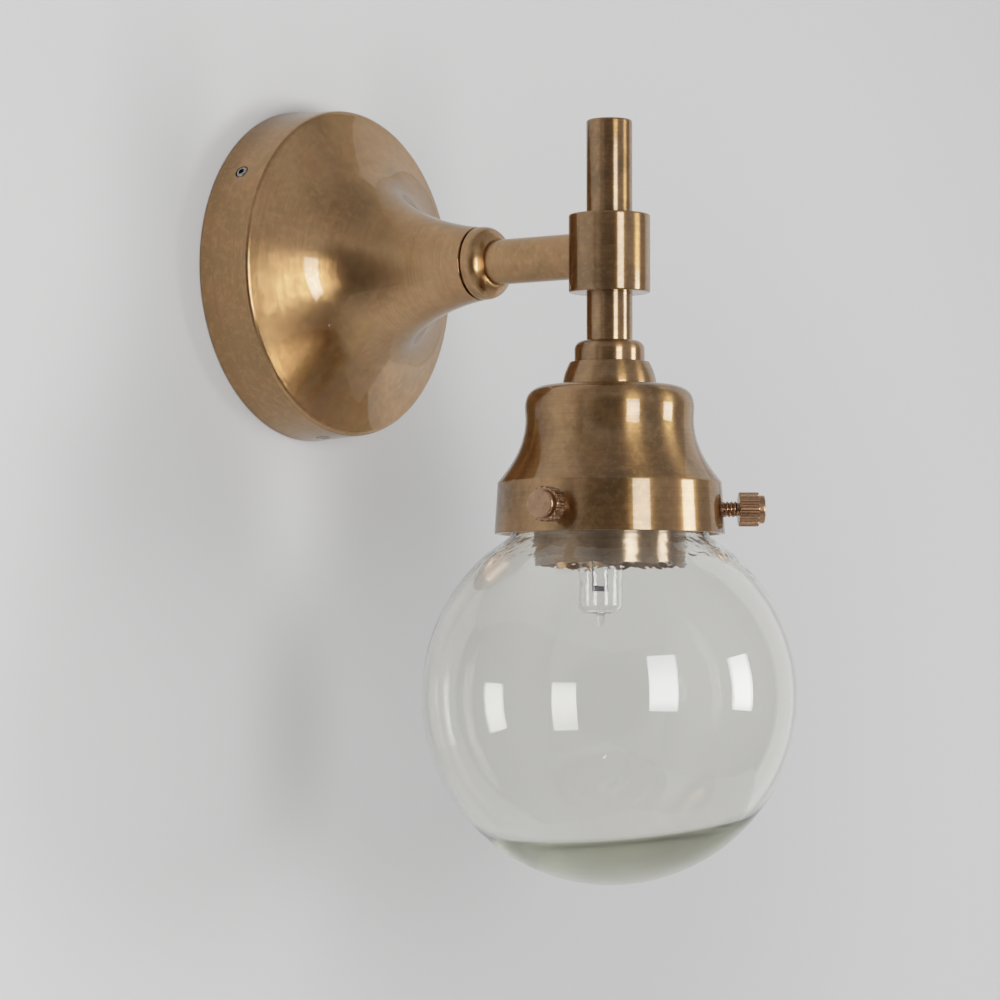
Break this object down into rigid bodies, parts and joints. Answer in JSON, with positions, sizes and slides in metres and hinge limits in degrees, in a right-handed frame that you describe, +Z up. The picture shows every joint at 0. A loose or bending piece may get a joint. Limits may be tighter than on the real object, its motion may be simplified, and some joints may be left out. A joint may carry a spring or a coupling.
{
  "type": "globe wall sconce",
  "caption": "Aged brass wall light: flared wall rose, short arm, upright stem in a sleeve, bell gallery with knurled thumb screws and a clear blown glass globe.",
  "frame": {"origin": "centre of the bracket's back face, on the wall, midway between the two fixing slots and on the arm's centre line", "axes": "+Y into the wall, so the lamp stands out along -Y; +Z up along the stem; +X to the right when facing the wall"},
  "size_m": [0.1204, 0.1856, 0.2579],
  "materials": {
    "aged_brass": "satin, turned and brushed, aged and lacquered",
    "thumb_brass": "darker aged brass, knurled",
    "bare_brass": "plain turned brass",
    "zinc_steel": "bright zinc plate",
    "green_screw": "green passivated steel",
    "dark_steel": "dull stainless steel",
    "contact_metal": "nickel plate",
    "tungsten": "drawn wire",
    "white_nylon": "moulded nylon",
    "white_ceramic": "glazed steatite",
    "black_rubber": "moulded rubber",
    "clear_glass": "clear blown glass, greenish where thick",
    "clear_quartz": "clear quartz"
  },
  "bodies": {
    "root": {"wall_bracket": "zinc_steel", "cable_grommet": "black_rubber", "earth_washer": "zinc_steel", "earth_screw": "green_screw", "terminal_block": "white_nylon", "terminal_sleeves": "bare_brass", "terminal_screws": "zinc_steel", "wall_rose": "aged_brass", "rose_grub_screws": "dark_steel", "arm_nipple": "bare_brass", "nose_washer": "bare_brass", "nose_nut": "bare_brass", "nose_ring": "aged_brass", "arm_tube": "aged_brass", "arm_bush": "bare_brass", "sleeve": "aged_brass", "sleeve_grub_screw": "dark_steel", "stem_tube": "aged_brass", "stem_top_plug": "aged_brass", "stem_bush": "bare_brass", "stem_collar": "aged_brass", "stem_nipple": "bare_brass", "cone_cap": "aged_brass", "gallery": "aged_brass", "gallery_nut": "bare_brass", "cup_upper_nut": "bare_brass", "cup_lower_nut": "bare_brass", "lampholder_cup": "aged_brass", "holder_strap": "zinc_steel", "strap_nut": "bare_brass", "strap_screws": "zinc_steel", "lampholder_body": "white_ceramic", "lampholder_contacts": "contact_metal", "glass_globe": "clear_glass"},
    "bulb": {"bulb_capsule": "clear_quartz", "bulb_pinch": "clear_quartz", "bulb_pins": "contact_metal", "bulb_filament": "tungsten", "bulb_lead_wires": "tungsten"},
    "thumb_1": {"thumb_screw_1": "thumb_brass"},
    "thumb_2": {"thumb_screw_2": "thumb_brass"},
    "thumb_3": {"thumb_screw_3": "thumb_brass"}
  },
  "joints": [
    {"name": "bulb_pull", "type": "slide", "parent": "root", "child": "bulb", "axis": [0, 0, -1], "range_m": [0, 0.014]},
    {"name": "thumb_1_back_out", "type": "slide", "parent": "root", "child": "thumb_1", "axis": [-0.9877, -0.1564, 0], "range_m": [0, 0.0035]},
    {"name": "thumb_2_back_out", "type": "slide", "parent": "root", "child": "thumb_2", "axis": [0.6293, -0.7771, 0], "range_m": [0, 0.0035]},
    {"name": "thumb_3_back_out", "type": "slide", "parent": "root", "child": "thumb_3", "axis": [0.3584, 0.9336, 0], "range_m": [0, 0.0035]}
  ]
}
